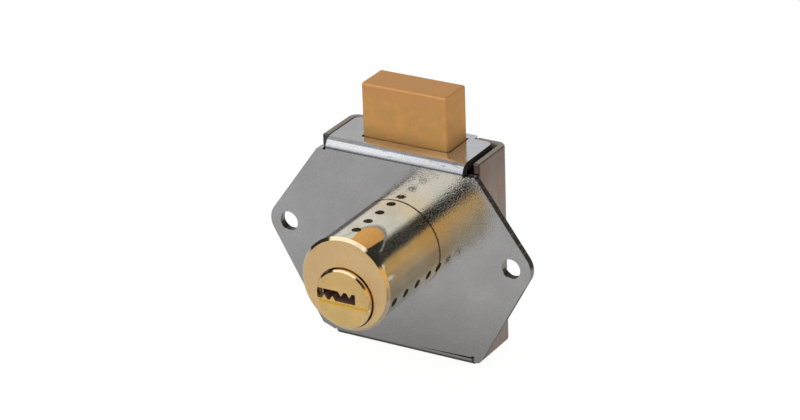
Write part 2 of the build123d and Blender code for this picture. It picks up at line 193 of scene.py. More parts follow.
# Trims of the two sheets: low and high corner of a box, and the move of what lies in it, in mm.
TRIMS = {
    "mounting_plate": {
        "right foot": ((19.2, -1, -30), (25, 3, -24.8), (-0.2, 0, 0.9)),
        "left shoulder": ((-19.5, -1, -24.8), (-19.2, 3, -24.2), (1.5, 0, -0.85)),
        "left foot": ((-18.7, -1, -30), (-18.5, 3, -24.8), (1.1, 0, 0)),
        "left relief": ((-18.7, -1, -24.8), (-18.5, 3, -24.2), (1.1, 0, -0.85)),
    },
    "rear_cover": {
        "foot": ((-100, -100, -30), (100, 100, -26.5), (0, 0, 0.9)),
    },
}
MERGE_DISTANCE = 0.0005 * MM
FLAT_ANGLE = radians(0.5)
SMOOTH_ANGLE = radians(40)
EDGE_SEGMENTS = 3

# The cards round the lock, each laid over those before it: azimuth, elevation, half width, half
# height and soft edge in degrees, and the light that it gives. CARD_SIDE keeps a card to its own side
# of the room, and HORIZON and CEILING are the heights at which the room's light changes.
CARDS = (
    (-32, 27, 42, 29, 6, "softbox_light"),
    (-40, -8, 9, 8, 5, "camera_shade"),
    (42, -22, 17, 14, 6, "warm_floor"),
    (47, 4, 12, 16, 6, "warm_light"),
    (33, 34, 12, 13, 5, "camera_shade"),
    (157, 31, 13, 11, 5, "camera_shade"),
    (-90, 15, 13, 15, 6, "camera_shade"),
)
CARD_SIDE = (0, 0.1)
HORIZON = (sin(radians(-3)), sin(radians(6)))
CEILING = (sin(radians(45)), sin(radians(60)))

# The floor: its own grey, how white a camera sees it, and how much of the room it lets mirrors see.
FLOOR_GREY = (0.7, 0.7, 0.7, 1)
FLOOR_WHITENESS = 0.85
FLOOR_CLEARNESS = 0.6
SENSOR_WIDTH = 36


def colour(name, description, default):
    return FloatVectorProperty(
        name=name, description=description, default=default, size=3, min=0, max=1, subtype="COLOR"
    )


def length(name, description, default):
    return FloatProperty(name=name, description=description, default=default, min=0, unit="LENGTH")


def amount(name, description, default, high=1.0):
    return FloatProperty(name=name, description=description, default=default, min=0, max=high)


class LockFinish(bpy.types.PropertyGroup):
    plate_steel: colour("Plate", "Plated steel of the front plate", (0.585, 0.58, 0.583))
    # this colour also paints light on the right of the top wall
    bend_steel: colour("Bend", "Bright stretched zinc on the bend of the plate", (0.74, 0.76, 0.80))
    bend_shadow: colour("Bend shadow", "Lower half of the bend", (0.42, 0.45, 0.49))
    cover_steel: colour("Cover", "Plated steel of the rear cover", (0.42, 0.35, 0.30))
    edge_steel: colour("Cut edges", "Dark cut edges of the plate", (0.055, 0.045, 0.035))
    rim_steel: colour("Cover rim", "Brighter rim of the rear cover", (0.32, 0.275, 0.235))
    barrel_metal: colour("Barrel", "Polished metal of the cylinder", (0.90, 0.86, 0.71))
    flange_brass: colour("Flange", "Satin brass of the cylinder's front ring", (1.0, 0.725, 0.39))
    rim_brass: colour("Rim", "Polished chamfers of the flange and the plug", (0.92, 0.76, 0.50))
    plug_brass: colour("Plug", "Satin brass of the plug's face", (1.0, 0.72, 0.32))
    groove_brass: colour("Groove", "Yellow brass in the plug's groove", (1.0, 0.72, 0.20))
    # painted shade with a dark tarnish inside the keyway
    keyway_shade_and_tarnish: colour("Keyway", "Dark film inside the keyway", (0.30, 0.17, 0.15))
    seam_grime: colour("Seams", "Brown film in the seams of the cylinder", (0.20, 0.12, 0.06))
    bolt_brass: colour("Bolt", "Satin brass of the bolt", (0.86, 0.50, 0.185))
    # painted light on the bolt's right side
    bolt_lit_side: colour("Bolt side", "Brighter right side of the bolt", (1.0, 0.70, 0.33))
    pin_brass: colour("Key pins", "Turned brass of the key pins", (0.62, 0.44, 0.22))
    bright_steel: colour("Small steel parts", "Pins, screw and cam", (0.45, 0.45, 0.46))
    blued_steel: colour("Blued steel", "Retaining ring and springs", (0.16, 0.16, 0.18))
    cap_brass: colour("Caps", "Dark caps in the pin holes", (0.05, 0.035, 0.022))
    plate_roughness: amount("Plate roughness", "Haze of the plate", 0.10)
    cover_roughness: amount("Cover roughness", "Haze of the rear cover", 0.24)
    barrel_roughness: amount("Barrel roughness", "Haze of the polished barrel", 0.045)
    flange_roughness: amount("Flange roughness", "Haze of the flange's face", 0.60)
    plug_roughness: amount("Plug roughness", "Haze of the plug's face", 0.60)
    bolt_roughness: amount("Bolt roughness", "Haze of the bolt", 0.60)


class LockEdges(bpy.types.PropertyGroup):
    plate_round: length("Plate edge", "Roll-over of the blanked plate", 0.15 * MM)
    cover_round: length("Cover edge", "Roll-over of the pressed cover", 0.45 * MM)
    sharp_angle: FloatProperty(
        name="Sharp angle", description="Edges over this angle are rounded",
        default=radians(32), subtype="ANGLE",
    )


class LockStudio(bpy.types.PropertyGroup):
    azimuth: FloatProperty(
        name="Azimuth", description="How far the camera stands round to the right",
        default=radians(30.93), subtype="ANGLE",
    )
    elevation: FloatProperty(
        name="Elevation", description="How far the camera stands above the lock",
        default=radians(24.565), subtype="ANGLE",
    )
    roll: FloatProperty(
        name="Roll", description="Tilt of the camera about its own axis",
        default=radians(-2.026), subtype="ANGLE",
    )
    distance: length("Distance", "From the camera to the plate's centre", 679 * MM)
    aim_right: length("Aim right", "How far right of the plate's centre the camera aims", 0.55 * MM)
    aim_up: length("Aim up", "How far above the plate's centre the camera aims", 7.9 * MM)
    focal_length: FloatProperty(
        name="Focal length", description="Lens of the camera, on a 36 mm wide sensor",
        default=134.08, min=1, unit="CAMERA",
    )
    floor_size: length("Floor", "Width of the pale floor", 6.0)
    backdrop_shade: amount("Backdrop", "Brightness of the floor and background", 1.12, 2.0)
    room_light: colour("Room", "Light of the room", (0.64, 0.64, 0.64))
    floor_light: colour("Floor light", "Light of the floor in what mirrors it", (0.60, 0.60, 0.60))
    ceiling_light: colour("Ceiling", "Light from above", (0.38, 0.38, 0.38))
    softbox_light: FloatVectorProperty(
        name="Softbox", description="Light of the large softbox at the upper left",
        default=(1.13, 1.13, 1.13), size=3, min=0, max=4, subtype="COLOR",
    )
    warm_light: colour("Warm side", "Light from the warm side at the right", (0.76, 0.48, 0.17))
    warm_floor: colour("Warm floor", "Light from the floor below the warm side", (0.42, 0.32, 0.20))
    camera_shade: colour("Camera gap", "The dark gap round the camera", (0.03, 0.03, 0.03))


def unit_direction(azimuth, elevation):
    """From the object towards that side; azimuth 0 is the front, and 90 degrees the right."""
    return Vector((
        sin(azimuth) * cos(elevation), -cos(azimuth) * cos(elevation), sin(elevation),
    ))


class Wire:
    """An output socket whose arithmetic adds the Math nodes that it stands for."""

    def __init__(self, graph, socket):
        self.graph = graph
        self.socket = socket

    def math(self, operation, *values):
        settings = {"operation": operation}
        return self.graph.add("ShaderNodeMath", settings, dict(enumerate(values)))

    def __add__(self, other):
        return self.math("ADD", self, other)

    def __sub__(self, other):
        return self.math("SUBTRACT", self, other)

    def __rsub__(self, other):
        return self.math("SUBTRACT", other, self)

    def __mul__(self, other):
        return self.math("MULTIPLY", self, other)

    def __pow__(self, other):
        return self.math("POWER", self, other)

    def __abs__(self):
        return self.math("ABSOLUTE", self)

    __radd__ = __add__
    __rmul__ = __mul__

    def limited(self):
        return self.math("MINIMUM", self.math("MAXIMUM", self, 0), 1)


class Graph:
    """A node tree that is written as expressions on its sockets."""

    def __init__(self, owner):
        owner.use_nodes = True
        self.tree = owner.node_tree
        self.tree.nodes.clear()

    def add(self, kind, settings=None, inputs=None, output=0):
        node = self.tree.nodes.new(kind)
        for key, value in (settings or {}).items():
            setattr(node, key, value)
        for key, value in (inputs or {}).items():
            if isinstance(value, Wire):
                self.tree.links.new(value.socket, node.inputs[key])
            else:
                node.inputs[key].default_value = value
        return Wire(self, node.outputs[output]) if len(node.outputs) else None

    def place(self):
        """Object coordinates, in metres."""
        return self.add("ShaderNodeTexCoord", output="Object")

    def stretched(self, place, scale):
        return self.add("ShaderNodeMapping", None, {"Vector": place, "Scale": scale})

    def noise(self, place, name):
        scale, detail, rough = NOISES[name]
        sockets = {"Vector": place, "Scale": scale, "Detail": detail, "Roughness": rough}
        return self.add("ShaderNodeTexNoise", None, sockets)

    def spread(self, value, low, high, to_low=0.0, to_high=1.0):
        """Maps low to high smoothly onto to_low to to_high, and holds the ends."""
        sockets = {
            "Value": value, "From Min": low, "From Max": high, "To Min": to_low, "To Max": to_high,
        }
        return self.add("ShaderNodeMapRange", {"interpolation_type": "SMOOTHSTEP"}, sockets)

    def between(self, value, start, full, fade, end):
        """0 up to start, 1 from full to fade, and 0 again from end."""
        return self.spread(value, start, full) * self.spread(value, end, fade)

    def blend(self, factor, first, second):
        sockets = {0: factor, 6: opaque(first), 7: opaque(second)}
        return self.add("ShaderNodeMix", {"data_type": "RGBA"}, sockets, output=2)

    def stain(self, tint, shade, mask, strength):
        """Lays a shade thinly over a tint where the mask is 1."""
        return self.blend(mask * strength, tint, shade)

    def mottled(self, shade, noise, low, high, dark, light):
        """A shade that goes from dark to light times itself as the noise goes from low to high."""
        return self.blend(self.spread(noise, low, high), scaled(shade, dark), scaled(shade, light))

    def hazy(self, noise, roughness, haze):
        """A roughness that the noise varies by the haze."""
        return self.spread(noise, 0.3, 0.7, roughness - haze / 2, roughness + haze / 2)

    def bump(self, height, strength, distance, normal=None):
        sockets = {"Height": height, "Strength": strength, "Distance": distance}
        if normal is not None:
            sockets["Normal"] = normal
        return self.add("ShaderNodeBump", None, sockets)

    def axis(self, place, name):
        return self.add("ShaderNodeSeparateXYZ", None, {"Vector": place}, output=name)

    def lean(self, vector, axis):
        """The dot product of a direction and an axis."""
        sockets = {0: vector, 1: axis}
        return self.add("ShaderNodeVectorMath", {"operation": "DOT_PRODUCT"}, sockets, output="Value")

    def front_depth(self, place, front, depth):
        """1 for what is no deeper than depth behind a piece's front."""
        return self.spread(self.axis(place, "Y"), front + depth, front + depth * FRONT_FULL)

    def surface(self, sockets):
        shader = self.add("ShaderNodeBsdfPrincipled", None, sockets)
        self.add("ShaderNodeOutputMaterial", None, {"Surface": shader})


def opaque(shade):
    return shade if isinstance(shade, Wire) else (*shade[:3], 1)


def scaled(shade, factor):
    return tuple(min(1.0, part * factor) for part in shade)


def tinted(shade, film):
    return tuple(part * factor for part, factor in zip(shade, film))


def blank_material(name):
    """A new material, its empty graph and the place on the piece, in metres."""
    material = bpy.data.materials.new(name)
    graph = Graph(material)
    return material, graph, graph.place()


def finish():
    return bpy.context.scene.lock_finish


def rolled_zinc(graph, place, shade, roughness, haze, smoothed=0.0):
    """Bright zinc on rolled sheet: cloudy haze, faint wear and a fine grain that scatters what it mirrors.

    The grain fades as smoothed nears 1.
    """
    clouds = graph.noise(place, "zinc_clouds")
    patches = graph.noise(place, "zinc_patches")
    specks = graph.spread(graph.noise(place, "zinc_specks"), low=0.70, high=0.78)
    tint = graph.mottled(shade, clouds, low=0.35, high=0.68, dark=0.94, light=1.06)
    worn = graph.spread(patches, low=0.56, high=0.78)
    tint = graph.stain(tint, scaled(shade, 0.82), worn, strength=0.3)
    tint = graph.stain(tint, scaled(shade, 0.5), specks, strength=0.45)
    gloss = graph.hazy(clouds, roughness, haze)
    gloss = gloss + graph.spread(patches, low=0.5, high=0.8, to_high=haze)
    normal = graph.bump(graph.noise(place, "sheet_waves"), strength=0.10, distance=0.4 * MM)
    grain = (graph.noise(place, "sheet_grain") - 0.5) * (1 - smoothed)
    normal = graph.bump(grain, strength=0.6, distance=0.03 * MM, normal=normal)
    return tint, gloss, normal


def dull_specks(graph, place, low, high):
    """1 on the fine specks whose film mirrors nothing."""
    return graph.spread(graph.noise(place, "film_specks"), low, high)


def foot_shade_and_grime(graph, look, height, tint):
    """Painted shade that darkens the plate towards its foot, and grime along its bottom edge."""
    # painted shade: the plating darkens towards the plate's foot
    dull = graph.spread(height, *SHADED_FOOT)
    tint = graph.stain(tint, scaled(look.plate_steel, 0.60), dull, strength=0.75)
    grimy = graph.spread(height, *GRIMY_FOOT)
    return graph.stain(tint, scaled(look.edge_steel, 3), grimy, strength=0.6)


def stretched_bend(graph, look, place, bend, tint):
    """Bright bend with scuffs; painted shade on its lower half, right and crease; painted light on the top
    wall's right.
    """
    across = graph.axis(place, "X")
    height = graph.axis(place, "Z")
    # painted shade: the bend's zinc darkens towards the right
    right = graph.spread(across, *BEND_RIGHT_SHADE)
    bend_zinc_shaded_right = graph.blend(right, look.bend_steel, scaled(look.bend_steel, 0.78))
    tint = graph.stain(tint, bend_zinc_shaded_right, bend, strength=0.8)
    low_bend = bend * graph.spread(height, *BEND_SHADE)
    tint = graph.stain(tint, look.bend_shadow, low_bend, strength=0.6)
    # painted shade: a dark line in the crease at the foot of the bend
    crease = graph.between(height, *BEND_CREASE_SHADE)
    tint = graph.stain(tint, scaled(look.plate_steel, 0.2), crease, strength=0.6)
    # painted light: the top wall takes the bend's brighter colour towards its right
    wall = graph.spread(height, *WALL_FACE) * graph.spread(across, *WALL_PAINTED_LIGHT)
    tint = graph.stain(tint, look.bend_steel, wall, strength=0.8)
    scuffs = graph.noise(graph.stretched(place, SCUFFS_ALONG_BEND), "bend_scuffs")
    scuffed = bend * graph.spread(scuffs, low=0.58, high=0.68)
    return graph.stain(tint, scaled(look.plate_steel, 0.35), scuffed, strength=0.5)


def cut_edge(graph, look, place):
    """1 on the blanked edge, and its shade: dark and torn, but worn bright at an ear's tip and in a hole."""
    depth = graph.axis(place, "Y")
    height = graph.axis(place, "Z")
    cut = graph.between(depth, *CUT_DEPTH) * graph.spread(height, *CUT_HEIGHT)
    torn = graph.noise(graph.stretched(place, TORN_ALONG_DEPTH), "torn_edge")
    shade = graph.mottled(look.edge_steel, torn, low=0.5, high=0.75, dark=1, light=5)
    ear_tip = graph.between(height, *EAR_TIP)
    from_hole = abs(graph.axis(place, "X")) - SCREW_OUT
    from_hole = (from_hole * from_hole + height * height) ** 0.5
    hole = graph.spread(from_hole, *HOLE_WALL)
    worn = ear_tip * (1 - hole) + hole * graph.spread(height, *HOLE_TOP)
    return cut, graph.stain(shade, scaled(look.plate_steel, 0.75), worn, strength=0.85)


def wall_end(graph, place):
    """1 on the right end of the top wall, which the cover shades."""
    across = graph.between(graph.axis(place, "X"), *WALL_END)
    return across * graph.spread(graph.axis(place, "Z"), *WALL_END_HEIGHT)


def plate_metal(name):
    """Bright zinc front plate: brighter bend, dark cut edges, painted shade at its foot and the wall's end.
    """
    look = finish()
    material, graph, place = blank_material(name)
    height = graph.axis(place, "Z")
    bend = graph.between(height, *BEND)
    tint, gloss, normal = rolled_zinc(
        graph, place, look.plate_steel, look.plate_roughness, haze=0.05, smoothed=bend * BEND_SMOOTHNESS,
    )
    tint = foot_shade_and_grime(graph, look, height, tint)
    tint = stretched_bend(graph, look, place, bend, tint)
    cut, edge_shade = cut_edge(graph, look, place)
    end = wall_end(graph, place)
    tint = graph.blend(cut, tint, edge_shade)
    # painted shade: the wall's end, in the cover's shadow, is drawn nearly black and less metallic
    tint = graph.blend(end, tint, scaled(look.plate_steel, 0.10))
    specks = dull_specks(graph, place, low=0.52, high=0.60) * (1 - cut)
    metal = 1 - (specks * PLATE_FILM + end * FILM_AND_SHADE).limited()
    gloss = gloss + cut * CUT_HAZE
    graph.surface({"Base Color": tint, "Metallic": metal, "Roughness": gloss, "Normal": normal})
    return material


def cover_metal(name):
    """The rear cover: duller zinc, brown and bluish films, a brighter rim, a dull middle, painted shade in
    front.
    """
    look = finish()
    shade = look.cover_steel
    material, graph, place = blank_material(name)
    height = graph.axis(place, "Z")
    tint, gloss, normal = rolled_zinc(graph, place, shade, look.cover_roughness, haze=0.08)
    runs = graph.noise(graph.stretched(place, RUNS_DOWNWARDS), "cover_runs")
    brown = graph.spread(runs, low=0.50, high=0.64)
    bluish = graph.spread(runs, low=0.46, high=0.36)
    tint = graph.stain(tint, tinted(shade, BROWN_FILM), brown, strength=0.8)
    tint = graph.stain(tint, tinted(shade, BLUE_FILM), bluish, strength=0.8)
    # the cover darkens towards its top
    darker_top = graph.spread(height + DARK_TOP_WAVER * runs, *COVER_DARK_TOP)
    tint = graph.stain(tint, tinted(shade, TOP_DARKENING), darker_top, strength=0.55)
    tint = graph.stain(tint, scaled(shade, 0.3), graph.spread(height, *COVER_OUTLINE), strength=0.35)
    tint = graph.blend(graph.spread(height, *COVER_RIM), tint, look.rim_steel)
    # painted shade: the cover's front, in the shade behind the plate, is drawn dark
    front = graph.spread(graph.axis(place, "Y"), *COVER_FRONT_SHADE)
    tint = graph.stain(tint, scaled(shade, 0.25), front, strength=0.85)
    between_sides = graph.spread(abs(graph.axis(place, "X")), *BETWEEN_COVER_SIDES)
    tint = graph.blend(between_sides, tint, scaled(shade, 0.8))
    metal = 1 - between_sides * FILM_AND_SHADE
    graph.surface({"Base Color": tint, "Metallic": metal, "Roughness": gloss, "Normal": normal})
    return material


def from_axis(graph, place, height=0.0):
    """The distance from a turned piece's axis, which runs back at that height."""
    across = graph.axis(place, "X")
    along = graph.axis(place, "Z") - height
    return (across * across + along * along) ** 0.5


def facing_rings(graph, radius):
    """A noise of the rings that facing leaves round a turned piece's axis."""
    return graph.noise(graph.add("ShaderNodeCombineXYZ", None, {"X": radius}), "facing_rings")


def satin_brass(graph, place, tint, shade):
    """A brass tint with the fine dark grain of a faced surface."""
    grain = graph.spread(graph.noise(place, "satin_grain"), low=0.3, high=0.7)
    return graph.stain(tint, scaled(shade, 0.78), grain, strength=0.35)


def cylinder_metal(name):
    """Buffed barrel and rim, nearly a mirror, with a satin ring where the flange was faced."""
    look = finish()
    material, graph, place = blank_material(name)
    depth = graph.axis(place, "Y")
    faced = graph.front_depth(place, CYLINDER_FRONT, FACING_DEPTH)
    rim = graph.front_depth(place, CYLINDER_FRONT, FLANGE_DEPTH)
    clouds = graph.noise(place, "barrel_clouds")
    barrel = graph.mottled(look.barrel_metal, clouds, low=0.4, high=0.65, dark=0.95, light=1.04)
    yellow = graph.spread(depth + YELLOW_WAVER * clouds, *YELLOW_BARREL)
    barrel = graph.stain(barrel, look.rim_brass, yellow, strength=0.8)
    # painted shade: the polished rim darkens towards its bottom
    shaded_low_rim = graph.spread(graph.axis(place, "Z"), *LOW_RIM_SHADE)
    rim_with_shade = graph.blend(shaded_low_rim, look.rim_brass, scaled(look.rim_brass, 0.68))
    flange = graph.mottled(look.flange_brass, clouds, low=0.4, high=0.65, dark=0.95, light=1.04)
    flange = satin_brass(graph, place, flange, look.flange_brass)
    tint = graph.blend(faced, graph.blend(rim, barrel, rim_with_shade), flange)
    from_plug = from_axis(graph, place, PLUG_HEIGHT)
    mouth = (1 - faced) * rim * graph.spread(from_plug, *PLUG_SEAM)
    seam = graph.spread(depth, *PLATE_SEAM)
    tint = graph.blend((mouth + seam).limited(), tint, look.seam_grime)
    polish = graph.spread(clouds, 0.35, 0.75, look.barrel_roughness, look.barrel_roughness + BARREL_HAZE)
    gloss = polish * (1 - faced) + faced * look.flange_roughness
    buffed = graph.noise(graph.stretched(place, BUFFED_ROUND), "buffing_lines")
    rings = facing_rings(graph, from_axis(graph, place))
    normal = graph.bump(buffed + rings * faced, strength=0.09, distance=0.01 * MM)
    grain = graph.noise(place, "barrel_grain") * (1 - rim)
    normal = graph.bump(grain, strength=0.35, distance=0.012 * MM, normal=normal)
    metal = 1 - dull_specks(graph, place, low=0.60, high=0.68) * (1 - rim) * BARREL_FILM
    graph.surface({"Base Color": tint, "Metallic": metal, "Roughness": gloss, "Normal": normal})
    return material


def plug_metal(name):
    """Satin brass face with a polished rim, a yellow groove across it and painted shade with tarnish in the
    keyway.
    """
    look = finish()
    material, graph, place = blank_material(name)
    radius = from_axis(graph, place, PLUG_HEIGHT)
    faced = graph.front_depth(place, PLUG_LOW.y, FACING_DEPTH)
    shallow = graph.front_depth(place, PLUG_LOW.y, GROOVE_DEPTH)
    inside = graph.spread(radius, *PLUG_FACE)
    in_keyway = (1 - shallow) * inside
    clouds = graph.noise(place, "plug_clouds")
    tint = graph.mottled(look.plug_brass, clouds, low=0.35, high=0.7, dark=0.93, light=1.05)
    tint = satin_brass(graph, place, tint, look.plug_brass)
    tint = graph.blend((1 - faced) * (1 - inside), tint, look.rim_brass)
    from_groove = abs(graph.axis(place, "Z") - (PLUG_HEIGHT - GROOVE_DROP))
    groove = graph.spread(from_groove, *GROOVE) * inside
    tint = graph.blend(groove + (1 - faced) * inside * (1 - groove), tint, look.groove_brass)
    # painted shade with a dark tarnish: the keyway is drawn dark and less metallic
    tint = graph.blend(in_keyway, tint, look.keyway_shade_and_tarnish)
    satin = graph.spread(clouds, 0.3, 0.7, *(look.plug_roughness + haze for haze in PLUG_HAZE))
    gloss = satin * faced + (1 - faced) * (CHAMFER_ROUGHNESS + GROOVE_HAZE * inside)
    metal = 1 - FILM_AND_SHADE * in_keyway
    normal = graph.bump(facing_rings(graph, radius), strength=0.06, distance=0.01 * MM)
    graph.surface({"Base Color": tint, "Metallic": metal, "Roughness": gloss, "Normal": normal})
    return material


def bolt_metal(name):
    """Satin tumbled bar brass: fine grain, drawn lines, redder end, painted light on the right, painted
    shade low.
    """
    look = finish()
    shade = look.bolt_brass
    material, graph, place = blank_material(name)
    height = graph.axis(place, "Z")
    blotches = graph.noise(place, "bolt_blotches")
    drawn = graph.noise(graph.stretched(place, DRAWN_UPWARDS), "drawn_lines")
    tint = graph.mottled(shade, blotches, low=0.32, high=0.7, dark=0.92, light=1.05)
    tint = graph.stain(tint, scaled(shade, 0.8), graph.spread(drawn, low=0.55, high=0.75), strength=0.3)
    rubbed = graph.spread(height + RUBBED_WAVER * blotches, *BOLT_END)
    tint = graph.stain(tint, tinted(shade, RUBBED_BRASS), rubbed, strength=0.5)
    # painted light: the bolt's right side is drawn brighter
    side = graph.spread(graph.axis(place, "X"), *BOLT_LIT_SIDE)
    tint = graph.blend(side, tint, look.bolt_lit_side)
    # painted shade: the bolt darkens towards its foot
    foot = graph.spread(height, *BOLT_FOOT_SHADE)
    tint = graph.stain(tint, scaled(shade, 0.5), foot * (1 - side), strength=0.4)
    gloss = graph.hazy(blotches, look.bolt_roughness, haze=0.10)
    normal = graph.bump(blotches, strength=0.10, distance=0.08 * MM)
    grain = graph.noise(place, "bolt_grain")
    normal = graph.bump(grain, strength=0.25, distance=0.02 * MM, normal=normal)
    # the painted light on the right side mirrors less
    metal = 1 - side * BOLT_LIT_SIDE_MATT
    graph.surface({"Base Color": tint, "Metallic": metal, "Roughness": gloss, "Normal": normal})
    return material


def small_metal(name, shade, roughness):
    """Plain turned or drawn metal for what sits inside the lock."""
    material, graph, place = blank_material(name)
    clouds = graph.noise(place, "small_clouds")
    tint = graph.mottled(shade, clouds, low=0.3, high=0.7, dark=0.85, light=1.1)
    gloss = graph.hazy(clouds, roughness, haze=0.10)
    normal = graph.bump(clouds, strength=0.05, distance=0.02 * MM)
    graph.surface({"Base Color": tint, "Metallic": 1.0, "Roughness": gloss, "Normal": normal})
    return material


def deselect_all():
    if bpy.context.object and bpy.context.object.mode != "OBJECT":
        bpy.ops.object.mode_set(mode="OBJECT")
    bpy.ops.object.select_all(action="DESELECT")


def make_active(piece):
    deselect_all()
    piece.select_set(True)
    bpy.context.view_layer.objects.active = piece


def dress(node, material):
    """Gives a CAD node its finish through its material slots."""
    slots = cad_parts[node].material_slots
    if not slots:
        raise RuntimeError(f"{node} has no material slot")
    for slot in slots:
        slot.material = material


def merged_copy(node, name):
    """A copy of a CAD node with its loose triangles merged and its flat faces whole."""
    piece = bpy.data.objects.new(name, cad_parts[node].data.copy())
    bpy.context.scene.collection.objects.link(piece)
    piece.data.name = name
    make_active(piece)
    bpy.ops.object.mode_set(mode="EDIT")
    bpy.ops.mesh.select_all(action="SELECT")
    bpy.ops.mesh.remove_doubles(threshold=MERGE_DISTANCE)
    bpy.ops.mesh.customdata_custom_splitnormals_clear()
    bpy.ops.mesh.dissolve_limited(angle_limit=FLAT_ANGLE)
    bpy.ops.object.mode_set(mode="OBJECT")
    return piece


def move_corner(piece, low, high, move):
    """Moves the part of a piece that lies between two corners of a box."""
    make_active(piece)
    bpy.ops.object.mode_set(mode="EDIT")
    bpy.ops.mesh.select_mode(type="VERT")
    bpy.ops.mesh.select_all(action="DESELECT")
    bpy.ops.object.mode_set(mode="OBJECT")
    for vertex in piece.data.vertices:
        vertex.select = all(a < value < b for a, value, b in zip(low, vertex.co, high))
    bpy.ops.object.mode_set(mode="EDIT")
    bpy.ops.transform.translate(value=move)
    bpy.ops.object.mode_set(mode="OBJECT")


def round_edges(piece, radius, angle):
    """Rounds the sharp edges, as a press tool or a tumbling barrel leaves them."""
    make_active(piece)
    bevel = piece.modifiers.new("edge", "BEVEL")
    bevel.width = radius
    bevel.segments = EDGE_SEGMENTS
    bevel.limit_method = "ANGLE"
    bevel.angle_limit = angle
    bevel.miter_outer = "MITER_ARC"
    bpy.ops.object.modifier_apply(modifier=bevel.name)
    bpy.ops.object.shade_smooth_by_angle(angle=SMOOTH_ANGLE)
    weighted = piece.modifiers.new("weighted", "WEIGHTED_NORMAL")
    weighted.keep_sharp = True
    bpy.ops.object.modifier_apply(modifier=weighted.name)


def sheet_shell(node, name, radius, material):
    """Stands a trimmed copy with soft edges in for one of the two sheets."""
    piece = merged_copy(node, name)
    for low, high, move in TRIMS[node].values():
        move_corner(piece, Vector(low) * MM, Vector(high) * MM, Vector(move) * MM)
    round_edges(piece, radius, bpy.context.scene.lock_edges.sharp_angle)
    piece.data.materials.clear()
    piece.data.materials.append(material)
    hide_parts(node)
    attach(piece, "case")


class LOCK_OT_plate(bpy.types.Operator):
    """Front plate with the roll-over of its blanking tool, in bright plating"""

    bl_idname = "lock.plate"
    bl_label = "Mounting plate"

    def execute(self, context):
        steel = plate_metal("plate_steel")
        radius = context.scene.lock_edges.plate_round
        sheet_shell("mounting_plate", "front_plate", radius, steel)
        return {"FINISHED"}


class LOCK_OT_cover(bpy.types.Operator):
    """Rear cover with soft pressed edges, in duller plating"""

    bl_idname = "lock.cover"
    bl_label = "Rear cover"

    def execute(self, context):
        steel = cover_metal("cover_steel")
        radius = context.scene.lock_edges.cover_round
        sheet_shell("rear_cover", "case_cover", radius, steel)
        return {"FINISHED"}


class LOCK_OT_cylinder(bpy.types.Operator):
    """Polished barrel and satin face of the cylinder and its plug"""

    bl_idname = "lock.cylinder"
    bl_label = "Cylinder and plug"

    def execute(self, context):
        dress("cylinder_body", cylinder_metal("cylinder_metal"))
        dress("plug", plug_metal("plug_metal"))
        return {"FINISHED"}


class LOCK_OT_pins(bpy.types.Operator):
    """Key pins, driver pins and caps of both rows"""

    bl_idname = "lock.pins"
    bl_label = "Pin stacks"

    def execute(self, context):
        look = finish()
        stack = {
            "key_pin": small_metal("pin_brass", look.pin_brass, roughness=0.28),
            "driver_pin": small_metal("pin_steel", look.bright_steel, roughness=0.25),
            "chamber_cap": small_metal("cap_brass", look.cap_brass, roughness=0.45),
        }
        for row in ROWS:
            for number in range(1, PINS_PER_ROW + 1):
                for piece, material in stack.items():
                    dress(f"{piece}_{row}_{number}", material)
        return {"FINISHED"}


class LOCK_OT_springs(bpy.types.Operator):
    """Pin springs, copied from the frame in blued steel"""

    bl_idname = "lock.springs"
    bl_label = "Pin springs"

    def execute(self, context):
        wire = small_metal("spring_steel", finish().blued_steel, roughness=0.35)
        for row, axis in ROWS.items():
            for number in range(1, PINS_PER_ROW + 1):
                node = f"pin_spring_{row}_{number}"
                spring = merged_copy(node, f"spring_{row}_{number}")
                spring.data.materials.clear()
                spring.data.materials.append(wire)
                bpy.ops.object.shade_smooth_by_angle(angle=SMOOTH_ANGLE)
                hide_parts(node)
                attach(spring, "case")
                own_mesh(spring)
        return {"FINISHED"}


class LOCK_OT_drive(bpy.types.Operator):
    """Cam, its screw and pins, and the ring that holds the cylinder"""

    bl_idname = "lock.drive"
    bl_label = "Cam and fastenings"

    def execute(self, context):
        look = finish()
        steel = small_metal("small_steel", look.bright_steel, roughness=0.26)
        for node in ("cam", "drive_pin", "cam_screw", "stop_pin"):
            dress(node, steel)
        dress("retaining_ring", small_metal("ring_steel", look.blued_steel, roughness=0.3))
        return {"FINISHED"}


class LOCK_OT_bolt(bpy.types.Operator):
    """Tumbled brass of the bolt"""

    bl_idname = "lock.bolt"
    bl_label = "Bolt"

    def execute(self, context):
        dress("bolt", bolt_metal("bolt_brass"))
        return {"FINISHED"}


def card(graph, towards, azimuth, elevation, wide, high, edge):
    """1 towards a card that stands round the lock, softly 0 beside it.

    All are in degrees, and wide and high are half of the card's size.
    """
    turn, lift = radians(azimuth), radians(elevation)
    front = unit_direction(turn, lift)
    right = Vector((cos(turn), sin(turn), 0))
    mask = graph.spread(graph.lean(towards, front), *CARD_SIDE)
    for axis, half in ((right, wide), (front.cross(right), high)):
        beside = abs(graph.lean(towards, axis))
        mask = mask * graph.spread(beside, sin(radians(half + edge)), sin(radians(half)))
    return mask


def room(graph, towards):
    """What polished metal mirrors in each direction: a softbox, a warm side and the dark camera."""
    studio = bpy.context.scene.lock_studio
    rise = graph.axis(towards, "Z")
    shade = graph.blend(graph.spread(rise, *HORIZON), studio.floor_light, studio.room_light)
    shade = graph.blend(graph.spread(rise, *CEILING), shade, studio.ceiling_light)
    for *place, light in CARDS:
        shade = graph.blend(card(graph, towards, *place), shade, getattr(studio, light))
    return shade


